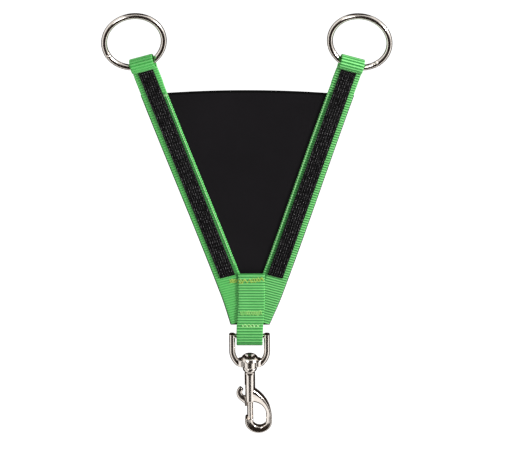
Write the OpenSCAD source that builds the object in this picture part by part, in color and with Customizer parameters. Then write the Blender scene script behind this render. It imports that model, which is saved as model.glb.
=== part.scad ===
// Bib martingale: two webbing straps in a V, each sewn round a ring, a bib panel sewn behind
// them, and a short centre strap over their junction that carries a swivel bolt snap.
// Millimetres. +X is the viewer's right, the front faces -Y, +Z is up, and the origin lies
// midway between the two ring centres.

/* [Webbing] */
// Width of all the webbing
webbing_w = 25.4; // [22:0.2:30]
// Thickness of the webbing
webbing_t = 1.5; // [1.2:0.1:2.2]
// Angle of each side strap from the vertical
strap_angle = 17.5; // [15:0.5:20]
// How far short of the crossing of their centre lines the side straps are cut
strap_cutback = 21.5; // [16:0.5:26]
// Angle at which the two legs of a ring loop close
leg_angle = 38; // [26:1:40]
// Room between the end of the turned-back webbing and the panel
tail_gap = 2; // [1:0.5:8]
// Height that the centre strap laps over the side straps
centre_lap = 60; // [45:1:75]
// Length that the centre strap's fold hangs below the eye bar's centre
fold_drop = 10.2; // [6:0.2:14]

/* [Rings] */
// Distance between the two ring centres
ring_span = 212; // [190:1:240]
// Clear opening of each ring
ring_id = 50.8; // [45:0.2:60]
// Diameter of the ring wire
ring_wire = 6; // [4:0.1:7]
// Turn of each ring about its strap, front edge inwards
ring_twist = 5.4; // [0:0.2:8]

/* [Bib panel] */
// Thickness of the panel
panel_t = 2; // [1:0.1:3]
// Drop from the ring centres to the top of the panel
panel_drop = 55; // [50:1:80]
// Radius of the crowned top edge
panel_crown_r = 920; // [400:5:1500]
// How far the panel shows past the straps' outer edges
panel_peek = 0.8; // [0:0.1:2]
// How far the panel shows below the straps' cut ends
panel_lip = 1; // [0:0.1:3]

/* [Hook tape] */
// Width of the tape with its selvedges
tape_w = 15; // [12:0.5:16]
// Thickness of the tape's woven base
tape_base_t = 0.8; // [0.6:0.1:1.2]
// Height of the hooks above the base
tape_hook_h = 0.8; // [0.5:0.1:1.5]
// Width of each bare selvedge
tape_selvedge = 1.3; // [1:0.1:2]
// Offset of the tape from the strap's middle towards the panel
tape_shift = 0.3; // [0:0.1:1]
// Room from the ring loop's seam to the start of the tape
tape_lead = 0.8; // [0.4:0.1:6]
// Room from the lower corner of the tape to the centre strap
tape_gap = 2.6; // [0.5:0.1:6]

/* [Thread] */
// Width of a stitch
thread_w = 0.7; // [0.4:0.1:1]
// Height that a stitch stands above the cloth
thread_h = 0.35; // [0.2:0.05:0.6]
// Length of a straight stitch
stitch_len = 3.2; // [2:0.2:4]
// Distance from one straight stitch to the next
stitch_pitch = 4.6; // [4.5:0.1:8]
// Distance of the panel seam from the strap's inner edge
seam_inset = 1.8; // [1:0.1:2.5]
// Height of a zigzag row
zigzag_h = 3.4; // [2:0.2:5]
// Distance from one zigzag leg to the next
zigzag_pitch = 1.9; // [1.8:0.1:3]
// Slope of the zigzag legs
zigzag_turn = 68; // [64:1:80]
// Distance of the loop seams from the ends of the turned-back webbing
loop_seam_inset = 3.5; // [3:0.1:5]
// Drop from the centre strap's upper end to its upper bar tack
upper_row_drop = 7.4; // [4:0.2:12]
// Rise from the panel's lower edge to the middle bar tack
middle_row_rise = 15.6; // [10:0.2:22]

// How far the upper bar tack runs on past the centre strap onto the left strap
upper_row_over = 8; // [4:0.5:10]

/* [Swivel eye] */
// Drop from the panel's lower edge to the eye bar's centre
eye_drop = 12.6; // [10:0.2:16]
// Diameter of the eye bar
eye_bar_d = 4.5; // [3:0.1:6]
// Room for the webbing on each side in the eye
eye_play = 0.9; // [0.3:0.05:2]
// Width of the eye's side bars
eye_side_w = 6; // [4:0.2:9]
// Thickness of the eye, front to back
eye_t = 5.6; // [5:0.2:8]
// Straight length of the side bars below the eye bar
eye_straight = 17; // [12:0.5:22]
// Half width of the lugs beside the boss
lug_half_w = 12.3; // [10:0.1:15]
// Depth from the eye bar's centre to the top of the boss
boss_drop = 26.6; // [24:0.2:30]
// Radius of the boss
boss_r = 7.5; // [6:0.1:9]
// Height of the boss
boss_h = 7.4; // [6:0.2:10]
// Height of the lugs as a share of the boss's height
lug_share = 0.9; // [0.7:0.05:1]
// Radius of the swivel rivet's shank
rivet_r = 3.2; // [2.5:0.1:3.6]
// Radius of the swivel rivet's head
rivet_head_r = 7; // [5.4:0.1:7.2]
// Height of the swivel rivet's head
rivet_head_h = 3; // [2.5:0.1:3.5]
// Bevel of the rivet's head, and depth of the dimple in it
rivet_bevel = 2.2; // [0.5:0.1:2.4]
// Radius of the dimple in the rivet's head
rivet_dimple_r = 3; // [2:0.1:3.5]
// How far the rivet's shank reaches below the flange
rivet_root = 1.2; // [0.5:0.1:2]

/* [Snap] */
// Radius of the flange under the swivel
flange_r = 6.9; // [6:0.1:8]
// Height of the flange
flange_h = 5.2; // [3:0.1:6]
// Height of the cone between the flange and the barrel
cone_h = 2.4; // [2:0.2:6]
// Radius of the barrel
barrel_r = 5.15; // [4.6:0.05:6]
// Length of the barrel below the cone
barrel_len = 32; // [30:0.5:36]
// Thickness of the hook, front to back
hook_t = 7.6; // [7:0.2:9]
// Reach of the hook from the swivel axis
hook_reach = 21; // [19:0.5:25]
// Outside radius of the hook's bend
hook_bend_r = 12.8; // [12.4:0.1:14]
// Width of the hook at its side
hook_side_w = 5.2; // [4:0.2:6]
// Inside radius of the hook's bend
throat_r = 6.4; // [6:0.1:6.8]
// Inside radius at the top of the hook's opening
throat_top_r = 12.8; // [12:0.1:13.4]
// Radius of the hook's sloping shoulder
shoulder_r = 42.6; // [36:0.5:50]
// Length of barrel above the hook's shoulder
shoulder_drop = 16.4; // [13:0.2:20]
// Depth from the hook's tip to the centre of its bend
bend_drop = 3.6; // [3:0.2:5]
// Drop from the bend's centre to the centre of its inside radius
throat_drop = 1; // [0.6:0.1:1.4]
// Rise from the bend's centre to the shoulder's widest point
shoulder_rise = 2.5; // [2:0.1:3]
// Thickness of the hook's roof below the barrel's end
throat_roof = 1.2; // [0.8:0.2:4]
// Thickness of the roof over the gate, beside the bolt
gate_roof = 1.2; // [0.8:0.2:3]
// Gate between the barrel's end and the hook's tip
gate_len = 19.5; // [18:0.5:24]

/* [Bolt] */
// Radius of the sliding bolt
bolt_r = 2.95; // [2.4:0.05:3.2]
// Travel of the bolt
bolt_travel = 13; // [8:0.5:14]
// Depth of the bolt's seat in the hook's tip
bolt_seat = 1.6; // [1:0.1:2.5]
// Length of the bolt inside the closed snap's barrel
bolt_guide = 12; // [10:0.5:13]
// Wall between the barrel's top and the bolt's bore
bore_roof = 0.5; // [0.3:0.1:1]
// Thickness of the thumb lever
lever_t = 4; // [3:0.2:4.4]
// Outside radius of the thumb lever's claw
lever_r = 10; // [9:0.2:11]
// Width of the claw at its belly
lever_w = 4.3; // [3:0.1:5]
// Height of the lever's root in the barrel's slot
lever_root_h = 11; // [10:0.2:12]
// How far the lever's root hangs out of the closed snap's barrel
lever_hang = 6; // [5:0.1:7]
// Rise of the claw's lowest point above the root's lower edge
lever_rise = 4; // [3:0.1:5]
// Height of the claw's tip above its centre, as a share of its radius
lever_tip_share = 0.75; // [0.6:0.05:0.85]
// Room between the barrel and the claw's tip
lever_clear = 2; // [1:0.1:3]
// Offset of the claw's inside radius, sideways
lever_bite_x = 0.4; // [0:0.1:1]
// Offset of the claw's inside radius, upwards
lever_bite_z = 2; // [1:0.1:3]
// Length of the tenon as a share of the bolt's radius
tenon_share = 0.8; // [0.5:0.05:0.9]
// Radius of the tenon that holds the lever in the bolt
tenon_r = 1.4; // [1:0.1:1.6]
// Diameter of the spring wire
spring_wire = 0.7; // [0.5:0.05:0.8]
// Turns of the bolt spring
spring_turns = 7; // [4:1:7]

/* [Fits] */
// Clear room for a ring in its loop
ring_play = 0.3; // [0.2:0.05:0.6]
// Clear room round the eye bar in the centre strap's fold
bar_play = 0.3; // [0.2:0.05:0.6]
// Running clearance of the rivet and the bolt in their bores
running = 0.07; // [0.02:0.01:0.1]
// End play of the swivel, above and below the boss
swivel_play = 0.3; // [0.2:0.05:0.5]
// Clear room beside the lever in its slot and round the spring
slide_play = 0.3; // [0.2:0.05:0.5]
// Clear room under the bolt in its seat
seat_play = 0.2; // [0.1:0.05:0.5]
// Gap between the two side straps where they are mitred
mitre_gap = 0.3; // [0.2:0.1:1]

/* [Hidden] */
$fn = 64;

GREEN = [0.30, 0.72, 0.33];
BLACK = [0.12, 0.11, 0.12];
TAPE_BLACK = [0.16, 0.15, 0.16];
THREAD_GREEN = [0.55, 0.78, 0.36];
NICKEL = [0.72, 0.69, 0.66];

// Cutting bodies pass this far beyond what they cut
cut_over = 1;
// Joined bodies overlap by this much
weld = 0.4;
// Segments in a computed arc
arc_steps = 16;

// Rings and their loops. Distances along a strap count from its ring's centre.
ring_x = ring_span / 2;
ring_r = (ring_id + ring_wire) / 2;
half_w = webbing_w / 2;
loop_chord = sqrt(ring_r * ring_r - half_w * half_w);
loop_pivot = (ring_r + loop_chord) / 2;
wire_reach = ring_r - loop_pivot + ring_wire / 2 * ring_r / loop_chord;
loop_bore = norm([wire_reach, half_w * sin(ring_twist)]) + ring_play;
loop_r = loop_bore + webbing_t;
neck_len = loop_bore / sin(leg_angle);
seam_d = loop_pivot + neck_len;
// The space between a loop's legs stays this far inside its bore
leg_inset = 0.3;

// Side straps, panel and centre strap, front to back and top to bottom
strap_len = ring_x / sin(strap_angle) - strap_cutback;
strap_front = -webbing_t;
tape_base_front = strap_front - tape_base_t;
tape_front = tape_base_front - tape_hook_h;
centre_front = strap_front - webbing_t;
tail_end = (panel_drop - tail_gap - half_w * sin(strap_angle)) / cos(strap_angle);
strap_low = -strap_len * cos(strap_angle) - half_w * sin(strap_angle);
panel_bottom = strap_low - panel_lip;
centre_top = panel_bottom + centre_lap;
tape_start = seam_d + tape_lead;
tape_reach = (tape_w / 2 + tape_shift) * cos(strap_angle);
tape_end = (ring_x - half_w - tape_gap - tape_reach) / sin(strap_angle);
tape_len = tape_end - tape_start;

// Panel outline: half width at a height, along the straps' outer edges
function panel_half(z) = ring_x + (half_w + panel_peek) / cos(strap_angle) + z * tan(strap_angle);
function crown_z(x) = -panel_drop - x * x / (2 * panel_crown_r);
panel_corner_x = panel_half(crown_z(panel_half(-panel_drop)));

// Swivel eye, heights from the eye bar's centre
bar_z = panel_bottom - eye_drop;
eye_in = half_w + eye_play;
eye_out = eye_in + eye_side_w;
boss_bottom = -boss_drop - boss_h;
arm_drop = -boss_bottom - eye_straight;
arm_in = eye_out - lug_half_w;
arm_r = (arm_in * arm_in + arm_drop * arm_drop) / (2 * arm_in);
arm_turn = asin(arm_drop / arm_r);
lug_h = boss_h * lug_share;
fold_bore = eye_bar_d / 2 + bar_play;
fold_r = fold_bore + webbing_t;
fold_z = bar_z - fold_drop + fold_r;

// Snap, heights from the eye bar's centre
flange_top = boss_bottom - swivel_play;
barrel_top = flange_top - flange_h - cone_h;
barrel_end = barrel_top - barrel_len;
tip_top = barrel_end - gate_len;
hook_z = tip_top - bend_drop;
throat_z = hook_z - throat_drop;
throat_top_z = barrel_end - throat_roof - throat_top_r;
shoulder_z = hook_z + shoulder_rise;
shoulder_top = barrel_top - shoulder_drop;
hook_in = hook_reach - hook_side_w;
rivet_seat = flange_h + rivet_root;
bolt_bore = bolt_r + running;
bore_top = barrel_top - bore_roof;
bolt_end = tip_top - bolt_seat + seat_play;
bolt_top = barrel_end + bolt_guide;
lever_root_low = barrel_end - lever_hang;
lever_root_top = lever_root_low + lever_root_h;
lever_z = lever_root_low + lever_r + lever_rise;
lever_x = -bolt_r - weld;
lever_tip_z = lever_z + lever_r * lever_tip_share;
lever_clear_x = -barrel_r - lever_clear;
tenon_len = bolt_r * tenon_share;
slot_top = lever_root_top + bolt_travel + slide_play;

// Spring between the bolt's top and the end of the barrel's bore
spring_seat = 0.15;
spring_r = bolt_bore - slide_play - spring_wire / 2;
spring_low = bolt_top + spring_seat + spring_wire / 2;
spring_high = bore_top - spring_seat - spring_wire / 2;
spring_rings = 8;
spring_sides = 6;

// A flat outline in X and Z, made solid from y0 backwards
module upright(y0, t) {
    translate([0, y0 + t, 0]) rotate([90, 0, 0]) linear_extrude(t) children();
}

// A side view in Y and Z, made solid across the webbing
module across(w) {
    rotate([90, 0, 90]) linear_extrude(w, center = true) children();
}

// Places a piece on a strap: its ring's centre is the origin and the strap runs down -Z
module on_strap(side) {
    mirror([side > 0 ? 1 : 0, 0, 0]) translate([-ring_x, 0, 0]) rotate([0, -strap_angle, 0]) children();
}

// Points of an arc about a centre, from one angle to another
function arc(centre, r, from, to) = [for (i = [0 : arc_steps]) let (a = from + (to - from) * i / arc_steps)
    [centre[0] + r * cos(a), centre[1] + r * sin(a)]];

// Side view of a strap: front run, ring loop and the tail turned back behind it
module strap_profile() {
    over = arc([0, -loop_pivot], loop_r, 180 + leg_angle, -leg_angle);
    leg_foot = -loop_pivot - (loop_r - webbing_t * cos(leg_angle)) / sin(leg_angle);
    throat = loop_bore - leg_inset;
    difference() {
        polygon(concat(over, [
            [webbing_t, leg_foot], [webbing_t, -tail_end], [0, -tail_end],
            [0, -strap_len], [strap_front, -strap_len], [strap_front, leg_foot]
        ]));
        translate([0, -loop_pivot]) circle(loop_bore);
        translate([0, -loop_pivot]) polygon([
            [0, 0], [-throat * cos(leg_angle), -throat * sin(leg_angle)],
            [0, -neck_len], [throat * cos(leg_angle), -throat * sin(leg_angle)]
        ]);
    }
}

// A side strap, mitred against the other one at the middle
module side_strap(side) {
    color(GREEN) difference() {
        on_strap(side) across(webbing_w) strap_profile();
        translate([side < 0 ? -mitre_gap / 2 : mitre_gap / 2 - ring_x, -ring_x, bar_z])
            cube([ring_x, 2 * ring_x, -bar_z / 2]);
    }
}

module left_strap() { side_strap(-1); }

module right_strap() { side_strap(1); }

// Hook tape: a woven base with bare selvedges and a raised field of hooks
module hook_tape(side) {
    color(TAPE_BLACK) on_strap(side) translate([tape_shift, 0, -tape_end]) {
        translate([-tape_w / 2, tape_base_front, 0]) cube([tape_w, tape_base_t, tape_len]);
        translate([tape_selvedge - tape_w / 2, tape_front, tape_selvedge])
            cube([tape_w - 2 * tape_selvedge, tape_hook_h + tape_base_t / 2, tape_len - 2 * tape_selvedge]);
    }
}

module left_hook_tape() { hook_tape(-1); }

module right_hook_tape() { hook_tape(1); }

// The bib panel behind the straps, with its crowned top edge
module bib_panel() {
    top = [for (i = [-arc_steps : arc_steps]) let (x = panel_corner_x * i / arc_steps) [x, crown_z(x)]];
    low = panel_half(panel_bottom);
    color(BLACK) upright(0, panel_t) polygon(concat(top, [[low, panel_bottom], [-low, panel_bottom]]));
}

// Centre strap: front and back legs over the junction, joined by a fold round the eye bar
module centre_strap() {
    back = panel_t + webbing_t;
    spread_z = bar_z + fold_r + webbing_t;
    color(GREEN) across(webbing_w) polygon(concat(
        [[centre_front, centre_top], [centre_front, panel_bottom], [-fold_r, spread_z]],
        arc([0, fold_z], fold_r, 180, 360),
        [[fold_r, spread_z], [back, panel_bottom], [back, centre_top]],
        [[panel_t, centre_top], [panel_t, panel_bottom], [fold_bore, spread_z]],
        arc([0, fold_z], fold_bore, 360, 180),
        [[-fold_bore, spread_z], [strap_front, panel_bottom], [strap_front, centre_top]]
    ));
}

// A welded wire ring, turned a little about its strap
module ring(side) {
    color(NICKEL) on_strap(side) rotate([90, 0, ring_twist]) rotate_extrude($fn = 96)
        translate([ring_r, 0]) circle(d = ring_wire);
}

module left_ring() { ring(-1); }

module right_ring() { ring(1); }

// A stitch that lies on a front face, along X or turned in the face
module stitch(len, turn) {
    rotate([0, turn, 0]) translate([-len / 2, -thread_h, -thread_w / 2]) cube([len, thread_h, thread_w]);
}

// A straight row of stitches down a strap, on the front face at y
module strap_seam(x, y, from, to) {
    count = floor((to - from - stitch_len) / stitch_pitch);
    for (i = [0 : count])
        translate([x, y, -from - stitch_len / 2 - i * stitch_pitch]) stitch(stitch_len, 90);
}

// A row of zigzag legs across the centre strap, on the front face at y
module zigzag(width, y, z) {
    count = floor((width - zigzag_h) / zigzag_pitch);
    for (i = [0 : count])
        translate([(i - count / 2) * zigzag_pitch, y, z])
            stitch(zigzag_h - thread_w, i % 2 == 0 ? zigzag_turn : -zigzag_turn);
}

// Rows across the turned-back tail, which close the ring loop from behind
module loop_stitching(side) {
    rows = [seam_d + loop_seam_inset, tail_end - loop_seam_inset];
    count = floor((webbing_w - 2 * seam_inset - stitch_len) / stitch_pitch);
    color(THREAD_GREEN) on_strap(side) for (d = rows, i = [0 : count])
        translate([(i - count / 2) * stitch_pitch, webbing_t + thread_h, -d]) stitch(stitch_len, 0);
}

module left_loop_stitching() { loop_stitching(-1); }

module right_loop_stitching() { loop_stitching(1); }

// Rows along the tape's two selvedges
module tape_stitching(side) {
    row = (tape_w - tape_selvedge) / 2;
    color(TAPE_BLACK) on_strap(side) for (x = [tape_shift - row, tape_shift + row])
        strap_seam(x, tape_base_front, tape_start + tape_selvedge, tape_end - tape_selvedge);
}

module left_tape_stitching() { tape_stitching(-1); }

module right_tape_stitching() { tape_stitching(1); }

// The seam along the strap's inner edge that holds the panel
module panel_stitching(side) {
    x = half_w - seam_inset;
    from = (-crown_z(panel_corner_x) + half_w * sin(strap_angle)) / cos(strap_angle);
    color(THREAD_GREEN) on_strap(side)
        strap_seam(x, strap_front, from, (ring_x - half_w - half_w * cos(strap_angle)) / sin(strap_angle));
}

module left_panel_stitching() { panel_stitching(-1); }

module right_panel_stitching() { panel_stitching(1); }

// Bar tacks through the centre strap and all that lies behind it
module upper_junction_stitching() {
    row_z = centre_top - upper_row_drop;
    color(THREAD_GREEN) {
        zigzag(webbing_w - seam_inset, centre_front, row_z);
        translate([-half_w - thread_h - upper_row_over / 2, 0, 0]) zigzag(upper_row_over, strap_front, row_z);
    }
}

module middle_junction_stitching() {
    row_z = panel_bottom + middle_row_rise;
    color(THREAD_GREEN) zigzag(webbing_w - seam_inset, centre_front, row_z);
}

module lower_junction_stitching() {
    row_z = panel_bottom + zigzag_h / 2 + thread_w;
    color(THREAD_GREEN) zigzag(webbing_w - 2 * seam_inset, centre_front, row_z);
}

// One side of the eye: a straight bar that curves in to the lug beside the boss
module eye_arm() {
    centre = [eye_out - arm_r, -eye_straight];
    polygon(concat(
        [[eye_in, eye_bar_d / 2], [eye_out, eye_bar_d / 2]],
        arc(centre, arm_r, 0, -arm_turn),
        arc(centre, arm_r - eye_side_w, -arm_turn, 0)
    ));
}

// Swivel eye: a D with a round bar for the webbing and a bored boss for the rivet
module swivel_eye() {
    color(NICKEL) translate([0, 0, bar_z]) difference() {
        union() {
            upright(-eye_t / 2, eye_t) {
                eye_arm();
                mirror([1, 0]) eye_arm();
                translate([-lug_half_w, boss_bottom]) square([2 * lug_half_w, lug_h]);
            }
            translate([0, 0, boss_bottom]) cylinder(h = boss_h, r = boss_r);
            translate([-eye_in - weld, 0, 0]) rotate([0, 90, 0])
                cylinder(h = 2 * (eye_in + weld), d = eye_bar_d);
        }
        translate([0, 0, boss_bottom - cut_over])
            cylinder(h = boss_h + 2 * cut_over, r = rivet_r + running);
    }
}

// Swivel rivet: a dimpled head over the boss and a shank seated in the snap's flange
module swivel_rivet() {
    under = -boss_drop + swivel_play;
    top = under + rivet_head_h;
    color(NICKEL) translate([0, 0, bar_z]) rotate_extrude() polygon([
        [0, flange_top - rivet_seat], [rivet_r, flange_top - rivet_seat], [rivet_r, under],
        [rivet_head_r, under], [rivet_head_r, top - rivet_bevel], [rivet_head_r - rivet_bevel, top],
        [rivet_dimple_r, top], [rivet_dimple_r / 2, top - rivet_bevel], [0, top - rivet_bevel]
    ]);
}

// Outline of the hook, seen from the front, without its gate
module hook_outline() {
    difference() {
        union() {
            intersection() {
                translate([hook_reach - shoulder_r, shoulder_z]) circle(shoulder_r);
                translate([0, shoulder_z]) square([hook_reach + cut_over, shoulder_top - shoulder_z]);
            }
            intersection() {
                translate([hook_reach - hook_bend_r, hook_z]) circle(hook_bend_r);
                translate([-hook_reach, tip_top - 3 * hook_bend_r])
                    square([3 * hook_reach, 3 * hook_bend_r]);
            }
        }
        translate([hook_in - throat_r, throat_z]) {
            circle(throat_r);
            square([throat_r, throat_top_z - throat_z]);
        }
        intersection() {
            translate([hook_in - throat_top_r, throat_top_z]) circle(throat_top_r);
            translate([0, tip_top]) square([hook_reach, gate_len]);
        }
        translate([-hook_reach, tip_top]) square([hook_reach + bolt_bore, gate_len - gate_roof]);
    }
}

// Snap body: flange, barrel bored for the bolt and its spring, slot for the lever, and hook
module snap_body() {
    slot_w = lever_t + 2 * slide_play;
    color(NICKEL) translate([0, 0, bar_z]) difference() {
        union() {
            rotate_extrude() polygon([
                [0, barrel_end], [barrel_r, barrel_end], [barrel_r, barrel_top],
                [flange_r, barrel_top + cone_h], [flange_r, flange_top], [0, flange_top]
            ]);
            upright(-hook_t / 2, hook_t) hook_outline();
        }
        translate([0, 0, flange_top - rivet_seat]) cylinder(h = rivet_seat + cut_over, r = rivet_r);
        translate([0, 0, tip_top - bolt_seat]) cylinder(h = bore_top - tip_top + bolt_seat, r = bolt_bore);
        translate([-barrel_r - cut_over, -slot_w / 2, barrel_end - cut_over])
            cube([barrel_r + cut_over, slot_w, slot_top - barrel_end + cut_over]);
    }
}

// Sliding bolt, with a cross hole for the lever's tenon
module bolt() {
    color(NICKEL) translate([0, 0, bar_z]) difference() {
        translate([0, 0, bolt_end]) cylinder(h = bolt_top - bolt_end, r = bolt_r);
        translate([0, 0, lever_root_low + lever_root_h / 2]) rotate([0, -90, 0])
            translate([0, 0, bolt_r - tenon_len]) cylinder(h = tenon_len + cut_over, r = tenon_r);
    }
}

// Outline of the thumb lever: a root in the barrel's slot, a claw that curves up beside it,
// and a straight heel from the claw down to the root's lower edge
module lever_outline() {
    heel = [lever_x - lever_r * cos(45), lever_z - lever_r * sin(45)];
    heel_drop = heel[1] - lever_root_low;
    root_x = lever_x + weld;
    difference() {
        union() {
            intersection() {
                translate([lever_x, lever_z]) circle(lever_r);
                translate([lever_x - lever_r, lever_root_low])
                    square([lever_r, lever_tip_z - lever_root_low]);
            }
            polygon([heel, heel + heel_drop * [1, -1], [root_x, lever_root_low], [root_x, heel[1]]]);
        }
        translate([lever_x + lever_bite_x, lever_z + lever_bite_z])
            circle(lever_r - lever_w + lever_bite_x);
        translate([lever_clear_x, lever_root_top]) square([-lever_clear_x, 2 * lever_r]);
    }
}

// Thumb lever, pressed into the bolt
module thumb_lever() {
    color(NICKEL) translate([0, 0, bar_z]) {
        difference() {
            union() {
                upright(-lever_t / 2, lever_t) lever_outline();
                translate([lever_x - weld, -lever_t / 2, lever_root_low])
                    cube([weld - lever_x, lever_t, lever_root_h]);
            }
            translate([0, 0, lever_root_low - cut_over])
                cylinder(h = lever_root_h + 2 * cut_over, r = bolt_r);
            translate([0, -lever_t, lever_root_low - cut_over])
                cube([lever_t, 2 * lever_t, lever_root_h + 2 * cut_over]);
        }
        translate([0, 0, lever_root_low + lever_root_h / 2]) rotate([0, -90, 0])
            translate([0, 0, bolt_r - tenon_len]) cylinder(h = tenon_len + weld, r = tenon_r);
    }
}

// Points of the spring's wire: its centre line, and a ring of points about each of its stations
function spring_centre(t) = [
    spring_r * cos(360 * spring_turns * t),
    spring_r * sin(360 * spring_turns * t),
    spring_low + (spring_high - spring_low) * t
];
function spring_ring(t) = let (
    a = 360 * spring_turns * t,
    rise = atan2(spring_high - spring_low, 2 * PI * spring_r * spring_turns),
    out = [cos(a), sin(a), 0],
    up = [sin(a) * sin(rise), -cos(a) * sin(rise), cos(rise)]
) [for (k = [0 : spring_sides - 1]) let (b = 360 * k / spring_sides)
    spring_centre(t) + spring_wire / 2 * (out * cos(b) + up * sin(b))];

// Compression spring that keeps the bolt shut: one unbroken tube
module bolt_spring() {
    stations = spring_turns * spring_rings;
    points = [for (i = [0 : stations]) each spring_ring(i / stations)];
    sides = [for (i = [0 : stations - 1], k = [0 : spring_sides - 1]) let (
        a = i * spring_sides + k,
        b = i * spring_sides + (k + 1) % spring_sides,
        c = a + spring_sides,
        d = b + spring_sides
    ) each [[a, c, b], [b, c, d]]];
    caps = [for (k = [1 : spring_sides - 2]) each [
        [0, k, k + 1],
        [stations * spring_sides, stations * spring_sides + k + 1, stations * spring_sides + k]
    ]];
    gap = min([for (i = [0 : stations - spring_rings], j = [i + spring_rings / 2 : stations])
        norm(spring_centre(i / stations) - spring_centre(j / stations)) - spring_wire]);
    echo(least_spring_gap = gap);
    color(NICKEL) translate([0, 0, bar_z]) polyhedron(points, concat(sides, caps));
}

bib_panel();
left_strap();
right_strap();
left_hook_tape();
right_hook_tape();
centre_strap();
left_ring();
right_ring();
left_loop_stitching();
right_loop_stitching();
left_tape_stitching();
right_tape_stitching();
left_panel_stitching();
right_panel_stitching();
upper_junction_stitching();
middle_junction_stitching();
lower_junction_stitching();
swivel_eye();
swivel_rivet();
snap_body();
bolt();
thumb_lever();
bolt_spring();
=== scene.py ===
import math
import random

import bpy
from mathutils import Matrix, Quaternion, Vector


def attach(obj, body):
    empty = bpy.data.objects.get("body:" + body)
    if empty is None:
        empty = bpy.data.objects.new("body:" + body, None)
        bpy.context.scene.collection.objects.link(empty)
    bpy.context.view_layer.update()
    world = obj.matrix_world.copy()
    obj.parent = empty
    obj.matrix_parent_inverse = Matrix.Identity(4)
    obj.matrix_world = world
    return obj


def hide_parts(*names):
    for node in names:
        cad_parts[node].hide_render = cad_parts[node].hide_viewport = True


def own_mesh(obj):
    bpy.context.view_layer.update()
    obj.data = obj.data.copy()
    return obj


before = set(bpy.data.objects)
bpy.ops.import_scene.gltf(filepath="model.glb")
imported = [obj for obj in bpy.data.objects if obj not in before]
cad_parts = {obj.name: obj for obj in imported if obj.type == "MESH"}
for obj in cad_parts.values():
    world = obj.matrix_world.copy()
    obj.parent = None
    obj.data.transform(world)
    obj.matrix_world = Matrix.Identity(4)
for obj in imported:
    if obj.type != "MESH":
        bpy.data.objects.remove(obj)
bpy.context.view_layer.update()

# Side straps
# Two lengths of bright green ribbed nylon webbing, about 25 mm wide, laid in a V with a slight bow.
# Each is folded back round its ring and sewn to its own back, and their lower ends are mitred together.
MM = 0.001
micron_places = 6
webbing_half = 12.7 * MM
strap_edge = 12.25 * MM
webbing_thick = 1.5 * MM
strap_slope = math.radians(17.5)
ring_from_middle = 106 * MM
strap_cutback = 21.5 * MM
strap_length = round(ring_from_middle / math.sin(strap_slope) - strap_cutback, micron_places)
loop_pivot = 25.9 * MM
loop_middle_r = 6.4 * MM
leg_angle = math.radians(56)
panel_drop = 55 * MM
tail_gap = 2 * MM
tail_drop = panel_drop - tail_gap - webbing_half * math.sin(strap_slope)
tail_length = round(tail_drop / math.cos(strap_slope), micron_places)
fold_half = 11.35 * MM
fold_reach = 14 * MM
strap_rib = 2.75 * MM
rib_steps = 6
rib_groove = 0.66 * MM
rib_edge = 0.30 * MM
yarn_pitch = 1.1 * MM
yarn_share = 0.55
groove_power = 1.4
crest_power = 4.0
fibre_stretch = (900, 9000, 1)
mitre_gap = 0.3 * MM
seam_inset = {"left": 1.9 * MM, "right": 1.2 * MM}
# Width, inset, sewn length and strength of a painted shade channel beside each panel seam.
seam_channel = 1.9 * MM
channel_inset = 3.1 * MM
seam_length = 269 * MM
painted_channel_shade = 0.8
# Reach and strength of painted shade on the centre strap: light near its fold, stronger along the fold's
# underside.
fold_slack = 24 * MM
fold_under = 8 * MM
painted_slack_shade = 0.16
painted_underside_shade = 0.50
bow_most = 2.3 * MM
bow_rise = (-50 * MM, -265 * MM)
bow_fall = (-338 * MM, -285 * MM)
# Painted light on the webbing: the crest colour is a painted highlight on the rib tops, and the shade
# colour is painted shade in the rib hollows, beside the panel seams and under the centre strap's fold.
webbing_green = (0.078, 0.490, 0.094, 1)
painted_crest_highlight = (0.340, 0.850, 0.310, 1)
webbing_shade = (0.022, 0.205, 0.036, 1)
# Strength of the painted shade in the rib hollows and the painted highlight on the rib tops, per side
# strap: more on the right and less on the left, to match how the light falls across each strap's ribs.
strap_painted_groove_shade = {"left": 0.32, "right": 1.60}
strap_painted_crest_light = {"left": 0.30, "right": 0.66}
fleck_middle = 0.62
fleck_dark = 0.30
wander_dark = 0.35


def select_none():
    bpy.ops.object.select_all(action="DESELECT")


def select_only(piece):
    select_none()
    piece.select_set(True)
    bpy.context.view_layer.objects.active = piece


def edit(piece):
    """Opens a piece in edit mode with all of it selected."""
    select_only(piece)
    bpy.ops.object.mode_set(mode="EDIT")
    bpy.ops.mesh.select_all(action="SELECT")


def done_editing():
    bpy.ops.object.mode_set(mode="OBJECT")


def apply_modifier(piece, kind, **settings):
    select_only(piece)
    modifier = piece.modifiers.new(kind.lower(), kind)
    for key, value in settings.items():
        setattr(modifier, key, value)
    bpy.ops.object.modifier_apply(modifier=modifier.name)


def tube(name, rings, uv=None):
    """Rolls a flat grid into a closed skin through rings of points, and closes its two ends."""
    sides = len(rings[0])
    select_none()
    bpy.ops.mesh.primitive_grid_add(x_subdivisions=sides, y_subdivisions=len(rings) - 1, size=MM)
    piece = bpy.context.object
    piece.name = name
    across = sides + 1
    for vertex in piece.data.vertices:
        j, i = divmod(vertex.index, across)
        vertex.co = rings[j][i % sides]
    if uv:
        layer = piece.data.uv_layers.active.data
        for loop in piece.data.loops:
            j, i = divmod(loop.vertex_index, across)
            layer[loop.index].uv = uv(i, j)
    edit(piece)
    bpy.ops.mesh.remove_doubles(threshold=1e-6)
    bpy.ops.mesh.select_all(action="SELECT")
    bpy.ops.mesh.fill_holes(sides=0)
    bpy.ops.mesh.select_all(action="SELECT")
    bpy.ops.mesh.normals_make_consistent(inside=False)
    done_editing()
    return piece


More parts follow.
